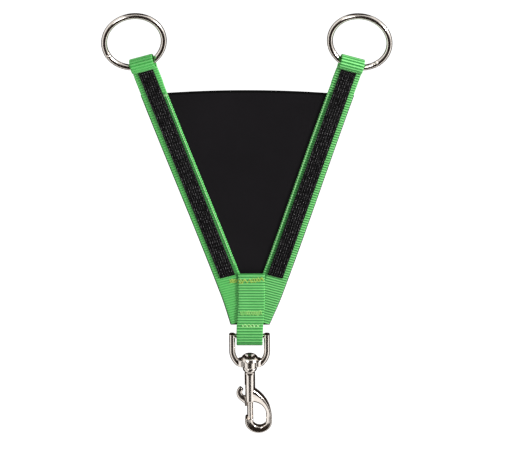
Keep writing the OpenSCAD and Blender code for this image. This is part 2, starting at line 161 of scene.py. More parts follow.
def evenly(points, step):
    """Points at equal steps along a bent line, with its direction at each and the length so far."""
    spans = [(b - a).length for a, b in zip(points, points[1:])]
    total = sum(spans)
    count = max(2, round(total / step))
    found, k, start = [], 0, 0.0
    for n in range(count + 1):
        want = total * n / count
        while k < len(spans) - 1 and want > start + spans[k]:
            start += spans[k]
            k += 1
        found.append((points[k].lerp(points[k + 1], (want - start) / spans[k]), want))
    placed = []
    for n, (point, length) in enumerate(found):
        ahead = found[min(n + 1, count)][0] - found[max(n - 1, 0)][0]
        placed.append((point, ahead.normalized(), length))
    return placed


def eased(points, radius, steps=6):
    """Rounds the corners of a bent line."""
    line = [points[0]]
    for before, corner, after in zip(points, points[1:], points[2:]):
        reach = min(radius, (corner - before).length / 2, (after - corner).length / 2)
        start = corner + (before - corner).normalized() * reach
        end = corner + (after - corner).normalized() * reach
        for n in range(steps + 1):
            t = n / steps
            line.append(start.lerp(corner, t).lerp(corner.lerp(end, t), t))
    return line + [points[-1]]


def webbing_band(name, side_line, half_width, pitch):
    """Webbing along a side view in Y and Z, with a rib every pitch and rounded selvedges."""
    columns = 10
    bends = [math.radians(a) for a in (60, 30, 0, -30, -60)]
    section = [(2 * k / columns - 1, 0, 1) for k in range(columns + 1)]
    section += [(1, math.cos(a), math.sin(a)) for a in bends]
    section += [(1 - 2 * k / columns, 0, -1) for k in range(columns + 1)]
    section += [(-1, -math.cos(a), -math.sin(a)) for a in bends]
    thick = webbing_thick / 2
    rings, lengths = [], []
    for point, ahead, length in evenly(side_line, pitch / rib_steps):
        groove = (1 - abs(math.sin(math.pi * length / pitch))) ** 2
        half = half_width(point.y)
        ring = []
        for across, bulge, lift in section:
            x = across * (half - thick) + bulge * (thick - rib_edge * groove)
            out = lift * (thick - rib_groove * groove)
            ring.append((x, point.x - ahead.y * out, point.y + ahead.x * out))
        rings.append(ring)
        lengths.append(length)
    girth, before = [0.0], Vector(rings[0][0])
    for corner in rings[0][1:] + rings[0][:1]:
        girth.append(girth[-1] + (Vector(corner) - before).length)
        before = Vector(corner)
    return tube(name, rings, lambda i, j: (girth[i], lengths[j]))


def strap_line():
    """Side view of a strap: up the front, over the ring's loop and down the tail."""
    face = webbing_thick / 2
    slant = (loop_middle_r * math.cos(leg_angle) - face) / math.sin(leg_angle)
    foot = -loop_pivot - loop_middle_r * math.sin(leg_angle) - slant * math.cos(leg_angle)
    turn = math.pi + 2 * leg_angle
    steps = 28
    loop = []
    for n in range(steps + 1):
        a = math.pi + leg_angle - turn * n / steps
        loop.append(Vector((loop_middle_r * math.cos(a), loop_middle_r * math.sin(a) - loop_pivot)))
    front = [Vector((-face, -strap_length)), Vector((-face, foot)), loop[0]]
    back = [loop[-1], Vector((face, foot)), Vector((face, -tail_length))]
    corner = 2.5 * MM
    return eased(front, corner) + loop[1:-1] + eased(back, corner)


def eased_share(z, start, end):
    """Runs smoothly from 0 at a start height to 1 at an end height."""
    t = min(1, max(0, (z - start) / (end - start)))
    return t * t * (3 - 2 * t)


def strap_half(z):
    """Half width of a strap: drawn in where it goes round the ring."""
    share = eased_share(z, loop_middle_r - loop_pivot, -loop_pivot - fold_reach)
    return fold_half + (strap_edge - fold_half) * share


left_place = Matrix.Translation((-ring_from_middle, 0, 0)) @ Matrix.Rotation(-strap_slope, 4, "Y")
strap_place = {"left": left_place, "right": Matrix.Scale(-1, 4, (1, 0, 0)) @ left_place}


def lay_on_strap(piece, side):
    """Moves a piece made round the ring's centre, with the strap below it, onto its strap."""
    piece.data.transform(strap_place[side])
    if side == "right":
        piece.data.flip_normals()
    return piece


def add_node(tree, kind, inputs=None, **settings):
    made = tree.nodes.new(kind)
    for key, value in settings.items():
        setattr(made, key, value)
    for key, value in (inputs or {}).items():
        if isinstance(value, bpy.types.NodeSocket):
            tree.links.new(value, made.inputs[key])
        else:
            made.inputs[key].default_value = value
    return made


def maths(tree, operation, a, b=0.0):
    return add_node(tree, "ShaderNodeMath", {0: a, 1: b}, operation=operation).outputs[0]


def times(tree, a, b):
    return maths(tree, "MULTIPLY", a, b)


def feed(tree, node, **values):
    """Links values to a node's sockets by their names."""
    for key, value in values.items():
        tree.links.new(value, node.inputs[key.replace("_", " ")])


def parts_of(tree, place):
    """The X, Y and Z of a place."""
    return add_node(tree, "ShaderNodeSeparateXYZ", {0: place}).outputs


def stretched(tree, place, scales):
    """A place with a scale of its own along X, Y and Z."""
    return add_node(tree, "ShaderNodeVectorMath", {0: place, 1: scales}, operation="MULTIPLY").outputs[0]


def blended(tree, share, a, b):
    """A colour between a and b."""
    return add_node(tree, "ShaderNodeMix", {0: share, 6: a, 7: b}, data_type="RGBA").outputs[2]


def ramp(tree, value, start, end):
    """Runs evenly from 0 at a start value to 1 at an end value."""
    return add_node(tree, "ShaderNodeMapRange", {0: value, 1: start, 2: end}).outputs[0]


def noise(tree, place, scale, detail):
    made = add_node(tree, "ShaderNodeTexNoise", {"Vector": place, "Scale": scale, "Detail": detail})
    return made.outputs["Fac"]


def object_place(tree):
    return add_node(tree, "ShaderNodeTexCoord").outputs["Object"]


def map_place(tree):
    return add_node(tree, "ShaderNodeUVMap", uv_map="UVMap").outputs[0]


def new_group(name, place, values, outputs):
    """A node group that takes a place and some values, and puts out values."""
    group = bpy.data.node_groups.new(name, "ShaderNodeTree")
    group.interface.new_socket(place, in_out="INPUT", socket_type="NodeSocketVector")
    for label in values:
        group.interface.new_socket(label, in_out="INPUT", socket_type="NodeSocketFloat")
    for label in outputs:
        group.interface.new_socket(label, in_out="OUTPUT", socket_type="NodeSocketFloat")
    return group, group.nodes.new("NodeGroupInput"), group.nodes.new("NodeGroupOutput")


def new_material(name, **constants):
    material = bpy.data.materials.new(name)
    material.use_nodes = True
    shader = material.node_tree.nodes["Principled BSDF"]
    for key, value in constants.items():
        shader.inputs[key.replace("_", " ")].default_value = value
    return material, material.node_tree, shader


def place_group(tree, group, **inputs):
    return add_node(tree, "ShaderNodeGroup", inputs, node_tree=group)


def bumped(tree, shader, height, distance, strength):
    bump = add_node(tree, "ShaderNodeBump", {"Height": height, "Distance": distance, "Strength": strength})
    feed(tree, shader, Normal=bump.outputs["Normal"])


# Weave: yarns that pass over and under along a band, from a map in metres.
weave, taken, given = new_group("weave", "Map", ("Rib", "Yarn"), ("Groove", "Crest", "Height"))
on_map = parts_of(weave, taken.outputs["Map"])
rib_turn = maths(weave, "DIVIDE", on_map[1], taken.outputs["Rib"])
yarn_turn = maths(weave, "DIVIDE", on_map[0], taken.outputs["Yarn"])
rib_wave = maths(weave, "ABSOLUTE", maths(weave, "SINE", times(weave, rib_turn, math.pi)))
rib_valley = maths(weave, "SUBTRACT", 1.0, rib_wave)
groove = maths(weave, "POWER", rib_valley, groove_power)
odd_rib = times(weave, maths(weave, "FLOOR", rib_turn), 0.5)
yarn_angle = times(weave, maths(weave, "ADD", yarn_turn, odd_rib), math.pi)
yarn = maths(weave, "ABSOLUTE", maths(weave, "SINE", yarn_angle))
drawn = stretched(weave, taken.outputs["Map"], fibre_stretch)
fibre = noise(weave, drawn, scale=1.0, detail=3.0)
height = maths(weave, "ADD", times(weave, yarn, yarn_share), times(weave, fibre, 1 - yarn_share))
# This mask of the rib tops feeds a painted highlight.
crest = maths(weave, "POWER", rib_wave, crest_power)
feed(weave, given, Groove=groove, Height=height, Crest=crest)


def webbing_material(name, pitch, painted_groove_shade, painted_crest_light, seam_place=None, fold_at=None):
    """Ribbed nylon, with painted shade in the hollows between its ribs and a painted highlight on their
    tops. A seam at a place across its map gets painted shade beside it, and a fold at a place along its map
    gets painted shade under it."""
    material, tree, shader = new_material(
        name, Roughness=0.52, Sheen_Weight=0.12, Sheen_Roughness=0.4, Specular_IOR_Level=0.35
    )
    uv = map_place(tree)
    cloth = place_group(tree, weave, Map=uv, Rib=pitch, Yarn=yarn_pitch)
    drift = noise(tree, object_place(tree), scale=45.0, detail=2.0)
    # Painted shade in the hollows between the ribs.
    shade = times(tree, cloth.outputs["Groove"], painted_groove_shade)
    low = maths(tree, "SUBTRACT", fleck_middle, cloth.outputs["Height"])
    fleck = times(tree, low, fleck_dark)
    wander = times(tree, maths(tree, "SUBTRACT", drift, 0.5), wander_dark)
    dark = maths(tree, "ADD", shade, maths(tree, "ADD", fleck, wander))
    on_map = parts_of(tree, uv)
    # Painted shade: a dark channel beside the panel seam, in the colour only; the cloth's shape has no dip
    # there.
    if seam_place:
        away = maths(tree, "ABSOLUTE", maths(tree, "SUBTRACT", on_map[0], seam_place))
        channel = ramp(tree, away, seam_channel, seam_channel / 3)
        sewn = maths(tree, "LESS_THAN", on_map[1], seam_length)
        depth = times(tree, channel, times(tree, sewn, painted_channel_shade))
        dark = maths(tree, "ADD", dark, depth)
    # Painted shade: the centre strap is darkened within reach of its fold, and more strongly along the
    # fold's underside.
    if fold_at:
        away = maths(tree, "ABSOLUTE", maths(tree, "SUBTRACT", on_map[1], fold_at))
        slack = ramp(tree, away, fold_slack, fold_under)
        under = ramp(tree, away, fold_under, fold_under / 2)
        dark = maths(tree, "ADD", dark, times(tree, slack, painted_slack_shade))
        dark = maths(tree, "ADD", dark, times(tree, under, painted_underside_shade))
    share = add_node(tree, "ShaderNodeClamp", {0: dark}).outputs[0]
    # Painted highlight on the rib tops.
    light = times(tree, cloth.outputs["Crest"], painted_crest_light)
    body = blended(tree, light, webbing_green, painted_crest_highlight)
    feed(tree, shader, Base_Color=blended(tree, share, body, webbing_shade))
    bumped(tree, shader, cloth.outputs["Height"], distance=0.12 * MM, strength=0.8)
    return material


def fitted(piece, material, body, slot, *nodes):
    """Gives a finished piece its material, hangs it on its body and hides the CAD parts it stands in for.
    The cloth lies in a slight bow to the right, from below the rings to the snap's eye."""
    if body == "bib":
        for vertex in piece.data.vertices:
            z = vertex.co.z
            vertex.co.x += bow_most * eased_share(z, *bow_rise) * eased_share(z, *bow_fall)
    piece.data.materials.clear()
    piece.data.materials.append(material)
    select_only(piece)
    bpy.ops.object.shade_smooth_by_angle(angle=math.radians(50))
    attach(piece, body)
    if nodes:
        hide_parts(*nodes)
    return piece


seam_place = 2 * strap_edge - webbing_thick / 2 - channel_inset
for side, sign in (("left", -1), ("right", 1)):
    strap_cloth = webbing_material(side + "_strap_webbing", strap_rib, strap_painted_groove_shade[side],
                                   strap_painted_crest_light[side], seam_place)
    strap = lay_on_strap(webbing_band(side + "_webbing", strap_line(), strap_half, strap_rib), side)
    edit(strap)
    bpy.ops.mesh.bisect(plane_co=(sign * mitre_gap / 2, 0, 0), plane_no=(-sign, 0, 0),
                        use_fill=True, clear_outer=True)
    done_editing()
    fitted(strap, strap_cloth, "bib", "webbing", side + "_strap")

# Rein rings
# Round rings of steel wire, polished and nickel plated. The wire's ends are butt welded, which leaves
# a low bead with a seam in it. Each hangs in its strap's fold and swings there.
ring_r = 28.1 * MM
ring_wire_r = 2.85 * MM
ring_twist = math.radians(5.4)
weld_at_degrees = {"left": 207, "right": 305}
weld_bead = 0.50 * MM
weld_bead_degrees = 3.4
weld_seam = 0.95 * MM
weld_seam_degrees = 1.3
nickel_colour = (0.88, 0.815, 0.750, 1)
nickel_dark = (0.53, 0.460, 0.400, 1)
nickel_cloud = 0.45
cloud_share = 0.6
scratch_stretch = (2600, 2600, 240)

# Handling: fine rubbed scratches and a faint cloud in a polished surface.
handling, taken, given = new_group("handling", "Place", ("Least", "Most"), ("Roughness", "Cloud", "Height"))
cloud = noise(handling, taken.outputs["Place"], scale=140.0, detail=4.0)
rubbed = stretched(handling, taken.outputs["Place"], scratch_stretch)
scratch = noise(handling, rubbed, scale=1.0, detail=2.0)
both = maths(handling, "ADD", times(handling, cloud, cloud_share),
             times(handling, scratch, 1 - cloud_share))
span = maths(handling, "SUBTRACT", taken.outputs["Most"], taken.outputs["Least"])
rough = maths(handling, "ADD", taken.outputs["Least"], times(handling, both, span))
feed(handling, given, Roughness=rough, Cloud=cloud, Height=scratch)


def plated_material(name, bright, dull, least, most):
    """Polished plating, its roughness between a least and a most."""
    material, tree, shader = new_material(name, Metallic=1.0)
    worn = place_group(tree, handling, Place=object_place(tree), Least=least, Most=most)
    share = times(tree, worn.outputs["Cloud"], nickel_cloud)
    colour = blended(tree, share, bright, dull)
    feed(tree, shader, Base_Color=colour, Roughness=worn.outputs["Roughness"])
    bumped(tree, shader, worn.outputs["Height"], distance=0.01 * MM, strength=0.25)
    return material


ring_nickel = plated_material("ring_nickel", nickel_colour, nickel_dark, least=0.10, most=0.26)
for side in ("left", "right"):
    select_none()
    bpy.ops.mesh.primitive_torus_add(major_radius=ring_r, minor_radius=ring_wire_r,
                                     major_segments=360, minor_segments=24)
    ring = bpy.context.object
    ring.name = side + "_rein_ring"
    on_ring = strap_place[side] @ Matrix.Rotation(ring_twist, 4, "Z") @ Matrix.Rotation(math.pi / 2, 4, "X")
    middle = on_ring.translation
    ring.data.transform(on_ring)
    if side == "right":
        ring.data.flip_normals()
    for vertex in ring.data.vertices:
        spoke = vertex.co - middle
        around = math.degrees(math.atan2(spoke.z, spoke.x)) - weld_at_degrees[side]
        around = (around + 180) % 360 - 180
        core = Vector((spoke.x, 0, spoke.z)).normalized() * ring_r
        bead = weld_bead * math.exp(-(around / weld_bead_degrees) ** 2)
        dip = weld_seam * math.exp(-(around / weld_seam_degrees) ** 2)
        vertex.co += (spoke - core).normalized() * (bead - dip)
    fitted(ring, ring_nickel, side + "_ring", "nickel", side + "_ring")

# Hook tape
# A black tape sewn down the face of each strap: a woven base with bare selvedges and rows of stiff
# nylon monofilament hooks, each row bent the other way, that grip the looped back of a cover.
tape_half = 7.5 * MM
tape_shift = 0.3 * MM
tape_base = 0.8 * MM
tape_selvedge = 1.3 * MM
tape_bevel = 0.3 * MM
tape_top = -33.4 * MM
tape_gap = 2.6 * MM
tape_reach = (tape_half + tape_shift) * math.cos(strap_slope)
tape_room = ring_from_middle - webbing_half - tape_gap - tape_reach
tape_low = -round(tape_room / math.sin(strap_slope), micron_places)
tape_face = -webbing_thick - tape_base
hook_wire_r = 0.30 * MM
hook_stem = 0.26 * MM
hook_curl_r = 0.30 * MM
hook_curl = math.radians(205)
hook_columns = 6
hook_row = 2.0 * MM
hook_turn_radians = 0.4
hook_lean_radians = 0.25
hook_stray = 0.2 * MM
hook_stagger = 0.06
tape_black = (0.0030, 0.0027, 0.0030, 1)
# Paler colours for painted glints, spread at random, on the tape's weave and on its hooks.
tape_glint_grey = (0.016, 0.015, 0.016, 1)
hook_glint_grey = (0.150, 0.145, 0.150, 1)


def repeated(piece, offset, count):
    """Repeats a piece in a row, each copy one offset further on."""
    apply_modifier(piece, "ARRAY", count=count, use_relative_offset=False, use_constant_offset=True,
                   constant_offset_displace=offset)


def block(name, size, middle):
    select_none()
    bpy.ops.mesh.primitive_cube_add(size=1, location=middle)
    piece = bpy.context.object
    piece.name = name
    piece.scale = size
    bpy.ops.object.transform_apply(location=True, rotation=True, scale=True)
    return piece


def tape_hook():
    """One hook: a short stem of wire with its end bent over."""
    select_none()
    bpy.ops.mesh.primitive_circle_add(vertices=5, radius=hook_wire_r, fill_type="NGON",
                                      rotation=(math.pi / 2, 0, 0), location=(0, tape_face, 0))
    hook = bpy.context.object
    bpy.ops.object.transform_apply(location=True, rotation=True, scale=True)
    edit(hook)
    bpy.ops.mesh.extrude_region_move(TRANSFORM_OT_translate={"value": (0, -hook_stem, 0)})
    bpy.ops.mesh.spin(steps=4, angle=hook_curl, axis=(1, 0, 0),
                      center=(0, tape_face - hook_stem, hook_curl_r))
    bpy.ops.mesh.select_all(action="SELECT")
    bpy.ops.mesh.remove_doubles(threshold=1e-6)
    bpy.ops.mesh.normals_make_consistent(inside=False)
    done_editing()
    return hook


def hook_field(side, draws):
    """The rows of hooks, every second row turned about, none quite like the next."""
    width = 2 * (tape_half - tape_selvedge - hook_wire_r)
    column = width / (hook_columns - 1)
    rows = int((tape_top - tape_low - 2 * tape_selvedge) / hook_row)
    hooks = tape_hook()
    each = len(hooks.data.vertices)
    repeated(hooks, (column, 0, 0), hook_columns)
    repeated(hooks, (0, 0, -hook_row), rows)
    hooks.name = side + "_tape_hooks"
    for n in range(hook_columns * rows):
        row, place = divmod(n, hook_columns)
        home = Vector((place * column, tape_face, -row * hook_row))
        about = math.pi * (row % 2) + draws.uniform(-hook_turn_radians, hook_turn_radians)
        turn = Matrix.Rotation(about, 3, "Y")
        lean = Matrix.Rotation(draws.uniform(-hook_lean_radians, hook_lean_radians), 3, "X")
        aside = column * hook_stagger * (1 if row % 2 else -1)
        stray = Vector((aside, 0, draws.uniform(-hook_stray, hook_stray)))
        for vertex in hooks.data.vertices[n * each:(n + 1) * each]:
            vertex.co = home + turn @ lean @ (vertex.co - home) + stray
    start = (tape_shift - width / 2, 0, tape_top - tape_selvedge - hook_row / 2)
    hooks.data.transform(Matrix.Translation(start))
    return hooks


def tape_strip(side):
    """The woven base, bevelled round its edge."""
    middle = (tape_shift, -webbing_thick - tape_base / 2, (tape_top + tape_low) / 2)
    strip = block(side + "_tape_base", (2 * tape_half, tape_base, tape_top - tape_low), middle)
    apply_modifier(strip, "BEVEL", width=tape_bevel, segments=3)
    layer = strip.data.uv_layers.active.data
    for loop in strip.data.loops:
        corner = strip.data.vertices[loop.vertex_index].co
        layer[loop.index].uv = (corner.x - tape_shift, corner.z)
    return strip


def tape_material(name, lightest, roughness, specular, patch, rarity, edged=False):
    """Black nylon with paler patches, painted glints that also vary at random, fewer with more rarity and
    none on a bare edge.
    """
    material, tree, shader = new_material(name, Roughness=roughness, Specular_IOR_Level=specular)
    spot = object_place(tree)
    knit = add_node(tree, "ShaderNodeTexVoronoi", {"Vector": spot, "Scale": 1300.0})
    glint_patches = add_node(tree, "ShaderNodeTexVoronoi", {"Vector": spot, "Scale": 1 / patch})
    chance = add_node(tree, "ShaderNodeSeparateColor", {0: glint_patches.outputs["Color"]}).outputs[0]
    share = maths(tree, "POWER", chance, rarity)
    # The bare edge gets no painted glints and stays darker, partly because it has no hooks and partly as
    # painted shade beside the tape.
    if edged:
        off = maths(tree, "ABSOLUTE", parts_of(tree, map_place(tree))[0])
        field = ramp(tree, off, tape_half - tape_selvedge, tape_half - 2 * tape_selvedge)
        share = times(tree, share, field)
    feed(tree, shader, Base_Color=blended(tree, share, tape_black, lightest))
    bumped(tree, shader, knit.outputs["Distance"], distance=0.16 * MM, strength=0.7)
    return material


tape_weave = tape_material("tape_weave", tape_glint_grey, roughness=0.85, specular=0.06,
                           patch=1.0 * MM, rarity=2.0, edged=True)
tape_monofil = tape_material("tape_monofilament", hook_glint_grey, roughness=0.32, specular=0.40,
                             patch=1.9 * MM, rarity=1.6)
draws = random.Random(11)
for side in ("left", "right"):
    strip = lay_on_strap(tape_strip(side), side)
    fitted(strip, tape_weave, "bib", "hook_tape", side + "_hook_tape")
    hooks = lay_on_strap(hook_field(side, draws), side)
    fitted(hooks, tape_monofil, "bib", "hook_tape")

# Bib panel
# One smooth black coated sheet, cut to the V with a slightly crowned top. It lies behind the straps,
# is sewn to their inner edges, and a narrow edge of it shows past their outer ones.
panel_thick = 2.0 * MM
panel_lip = 1.0 * MM
strap_foot = strap_length * math.cos(strap_slope) + webbing_half * math.sin(strap_slope)
panel_bottom = -round(strap_foot + panel_lip, micron_places)
panel_crown_r = 920 * MM
panel_peek = 0.35 * MM
panel_clear = 0.03 * MM
panel_edge = 2.4 * MM
panel_bevel = 0.45 * MM
panel_black = (0.0054, 0.0047, 0.0056, 1)
panel_grey = (0.0088, 0.0075, 0.0090, 1)
panel_top_edge_black = (0.0008, 0.0008, 0.0008, 1)
panel_rough = 0.50
panel_rough_drift = 0.16


def panel_half(z):
    """Half width of the panel at a height."""
    return (ring_from_middle + (webbing_half + panel_peek) / math.cos(strap_slope)
            + z * math.tan(strap_slope))


def crown(x):
    """Height of the panel's top edge."""
    return -panel_drop - x * x / (2 * panel_crown_r)


panel_corner = panel_half(crown(panel_half(-panel_drop)))
select_none()
bpy.ops.mesh.primitive_grid_add(x_subdivisions=48, y_subdivisions=56, size=1)
panel = bpy.context.object
panel.name = "bib_sheet"
for vertex in panel.data.vertices:
    side_share, rise = 2 * vertex.co.x, vertex.co.y + 0.5
    top = crown(side_share * panel_corner)
    z = panel_bottom + rise * (top - panel_bottom)
    wide = panel_half(panel_bottom) + rise * (panel_corner - panel_half(panel_bottom))
    vertex.co = (side_share * wide, panel_clear, z)
apply_modifier(panel, "SOLIDIFY", thickness=panel_thick - 2 * panel_clear, offset=-1.0)
edit(panel)
bpy.ops.mesh.normals_make_consistent(inside=False)
done_editing()
apply_modifier(panel, "BEVEL", width=panel_bevel, segments=3, limit_method="ANGLE",
               angle_limit=math.radians(60))
coated, tree, shader = new_material("bib_coating", Specular_IOR_Level=0.12)
spot = object_place(tree)
grain = add_node(tree, "ShaderNodeTexVoronoi", {"Vector": spot, "Scale": 1500.0})
tone = noise(tree, spot, scale=18.0, detail=4.0)
# A narrow band along the top edge is made darker and rougher.
at = parts_of(tree, spot)
sag = maths(tree, "DIVIDE", times(tree, at[0], at[0]), 2 * panel_crown_r)
depth = maths(tree, "SUBTRACT", -panel_drop, maths(tree, "ADD", at[2], sag))
top_edge_band = ramp(tree, depth, panel_edge, 0.6 * panel_edge)
coat = blended(tree, tone, panel_black, panel_grey)
gloss = maths(tree, "ADD", panel_rough, times(tree, tone, panel_rough_drift))
feed(tree, shader, Base_Color=blended(tree, top_edge_band, coat, panel_top_edge_black),
     Roughness=maths(tree, "MAXIMUM", gloss, top_edge_band))
bumped(tree, shader, grain.outputs["Distance"], distance=0.05 * MM, strength=0.5)
fitted(panel, coated, "bib", "bib", "bib_panel")
panel_area = (panel_corner + panel_half(panel_bottom)) * (crown(panel_corner) - panel_bottom)
panel_area += 4 / 3 * panel_corner * (-panel_drop - crown(panel_corner))

# Strap stitching
# Twisted nylon thread. Black rows hold the tape by its selvedges, green rows along
# the straps' inner edges hold the panel, and green rows across the tails close the loops.
thread_r = 0.36 * MM
thread_twist = 2.2 * MM
thread_flat = 0.20
thread_step = 0.32 * MM
stitch_half = 2.1 * MM
stitch_pitch = 4.6 * MM
stitch_rise = 0.32 * MM
stitch_sink = 0.9 * thread_r
seam_past = 1.2 * MM
lock_count = 3
lock_first = 0.5 * MM
lock_pitch = 0.8 * MM
lock_aside = 0.1 * MM
tail_stitches = 5
sideways = Matrix.Rotation(math.pi / 2, 4, "Y")
loop_seam_inset = 3.5 * MM
loop_foot = -35.506 * MM
thread_green = (0.20, 0.50, 0.105, 1)
thread_light = (0.56, 0.86, 0.47, 1)
thread_black = (0.006, 0.0055, 0.006, 1)
ply_dark = 1.6


def thread_line(name, points, radius=thread_r):
    """Two-ply thread along a line of points: an oval that turns as it goes."""
    sides = 8
    rings = []
    for point, ahead, length in evenly(points, thread_step):
        one = ahead.orthogonal() if abs(ahead.y) > 0.95 else ahead.cross(Vector((0, 1, 0)))
        one.normalize()
        two = ahead.cross(one)
        twist = length / thread_twist * 2 * math.pi
        ring = []
        for k in range(sides):
            a = 2 * math.pi * k / sides
            oval = radius * (1 - thread_flat + thread_flat * math.cos(2 * (a - twist)))
            ring.append(point + one * (oval * math.cos(a)) + two * (oval * math.sin(a)))
        rings.append(ring)
    return tube(name, rings)


def stitch(name, face, out):
    """One stitch down a strap: it comes up out of the cloth, lies on it and goes in again."""
    steps = 8
    run = []
    for n in range(steps + 1):
        t = 2 * n / steps - 1
        lift = stitch_rise * (1 - t ** 4) - stitch_sink
        run.append(Vector((0, face + out * lift, t * stitch_half)))
    return thread_line(name, run)


def seam(name, face, out, x, top, low):
    """A straight row of stitches on a strap's face."""
    row = stitch(name, face, out)
    count = int((top - low - 2 * stitch_half) / stitch_pitch) + 1
    repeated(row, (0, 0, -stitch_pitch), count)
    row.data.transform(Matrix.Translation((x, 0, top - stitch_half)))
    return row


def joined(pieces, name):
    """Makes pieces one, under a name of its own."""
    select_only(pieces[0])
    for other in pieces[1:]:
        other.select_set(True)
    if len(pieces) > 1:
        bpy.ops.object.join()
    pieces[0].name = name
    return pieces[0]


def thread_material(name, colour, dark):
    """Nylon thread, darker between its plies."""
    material, tree, shader = new_material(name, Roughness=0.48, Sheen_Weight=0.2, Sheen_Roughness=0.4)
    spot = object_place(tree)
    ply = noise(tree, spot, scale=900.0, detail=3.0)
    drift = noise(tree, spot, scale=160.0, detail=1.0)
    share = times(tree, times(tree, drift, ply), ply_dark)
    feed(tree, shader, Base_Color=blended(tree, share, colour, dark))
    bumped(tree, shader, ply, distance=0.06 * MM, strength=0.7)
    return material


def seam_start():
    """The first stitches of a seam, sewn across it to lock the thread."""
    locks = []
    x = strap_edge - seam_inset["left"] - lock_aside
    for n in range(lock_count):
        row = stitch(f"seam_start_{n}", -webbing_thick, -1)
        row.data.transform(sideways)
        row.data.transform(Matrix.Translation((x, 0, panel_top_corner - lock_first - lock_pitch * n)))
        locks.append(row)
    return locks


green_thread = thread_material("green_thread", thread_green, webbing_shade)
light_thread = thread_material("light_thread", thread_light, webbing_green)
black_thread = thread_material("black_thread", thread_black, tape_black)
panel_inner = panel_corner - 2 * webbing_half / math.cos(strap_slope)
panel_top = crown(panel_inner) - webbing_half * math.sin(strap_slope)
panel_top_corner = panel_top / math.cos(strap_slope) + seam_past
straps_apart = ring_from_middle - webbing_half - webbing_half * math.cos(strap_slope)
junction_low = -straps_apart / math.sin(strap_slope)
for side in ("left", "right"):
    rows = []
    for n, turn in enumerate((-1, 1)):
        row_x = tape_shift + turn * (tape_half - tape_selvedge / 2)
        rows.append(seam(f"{side}_tape_row_{n}", tape_face, -1, row_x,
                         tape_top - tape_selvedge, tape_low + tape_selvedge))
    rows = lay_on_strap(joined(rows, side + "_tape_seams"), side)
    fitted(rows, black_thread, "bib", "tape_thread", side + "_tape_stitching")
    seam_x = strap_edge - seam_inset[side]
    row = seam(side + "_panel_seam", -webbing_thick, -1, seam_x, panel_top_corner, junction_low)
    if side == "left":
        row = joined([row] + seam_start(), "left_panel_seam")
    fitted(lay_on_strap(row, side), light_thread, "bib", "thread", side + "_panel_stitching")
    row = seam(side + "_panel_seam_back", panel_thick, 1, seam_x,
               panel_top_corner - stitch_pitch, junction_low)
    fitted(lay_on_strap(row, side), light_thread, "bib", "thread")
    tails = []
    for n, z in enumerate((loop_foot - loop_seam_inset, -tail_length + loop_seam_inset)):
        row = stitch(f"{side}_tail_row_{n}", webbing_thick, 1)
        row.data.transform(sideways)
        repeated(row, (stitch_pitch, 0, 0), tail_stitches)
        row.data.transform(Matrix.Translation((-(tail_stitches - 1) / 2 * stitch_pitch, 0, z)))
        tails.append(row)
    tails = lay_on_strap(joined(tails, side + "_tail_seams"), side)
    fitted(tails, green_thread, "bib", "thread", side + "_loop_stitching")

# Centre strap
# A short length of the same webbing, lapped over the junction in front and behind
# and folded round the snap's eye bar. Its lower end hangs as a slack loop.
centre_rib = 3.1 * MM
centre_lap = 60 * MM
centre_top = panel_bottom + centre_lap
eye_drop = 12.6 * MM
bar_z = panel_bottom - eye_drop
fold_middle_r = 3.30 * MM
fold_z = bar_z - 6.15 * MM
spread_z = bar_z + 5.55 * MM
bar_squeeze = 0.25 * MM
squeeze_reach = 8 * MM
centre_front = -1.5 * webbing_thick
centre_back = panel_thick + webbing_thick / 2


def centre_line():
    """Side view of the centre strap: down the front, round the bar and up the back."""
    steps = 16
    turns = [math.pi * n / steps for n in range(steps + 1)]
    fold = [Vector((-fold_middle_r * math.cos(a), fold_z - fold_middle_r * math.sin(a))) for a in turns]
    front = [Vector((centre_front, centre_top)), Vector((centre_front, panel_bottom)),
             Vector((-fold_middle_r, spread_z)), fold[0]]
    back = [fold[-1], Vector((fold_middle_r, spread_z)), Vector((centre_back, panel_bottom)),
            Vector((centre_back, centre_top))]
    corner = 3 * MM
    return eased(front, corner) + fold[1:-1] + eased(back, corner)


def centre_half(z):
    """Half width of the centre strap: a little less where it hangs in the eye."""
    return webbing_half - bar_squeeze * min(1, max(0, (spread_z - z) / squeeze_reach))


centre_run = list(reversed(centre_line()))
centre_fold = sum((b - a).length for a, b in zip(centre_run, centre_run[1:])) / 2
# The centre strap gets strong painted shade in its rib hollows and a strong painted highlight on its rib
# tops.
centre_cloth = webbing_material("centre_webbing", centre_rib, painted_groove_shade=1.20, painted_crest_light=0.60,
                                fold_at=centre_fold)
centre = webbing_band("centre_webbing", centre_run, centre_half, centre_rib)
fitted(centre, centre_cloth, "bib", "webbing", "centre_strap")

# Junction stitching
# Bar tacks in nylon thread through the centre strap and all behind it: an ochre zigzag that runs on
# onto the left strap, a light green one at mid height, and a short pale one above the fold.
tack_ochre = (0.45, 0.59, 0.082, 1)
tack_olive = (0.28, 0.48, 0.075, 1)
tack_light = (0.42, 0.75, 0.21, 1)
tack_pale = (0.48, 0.80, 0.36, 1)
tack_z = {"upper": centre_top - 7.4 * MM, "middle": panel_bottom + 15.6 * MM,
          "lower": panel_bottom + 0.6 * MM}
tack_colours = {"upper": (tack_ochre, tack_olive), "middle": (tack_light, webbing_green),
                "lower": (tack_pale, tack_light)}
tack_rise = 0.75 * thread_r
stray_across = 0.35 * MM
stray_along = 0.5 * MM
tack_sink = 0.7 * thread_r
strap_sink = -webbing_thick + tack_sink
centre_sink = strap_sink - webbing_thick

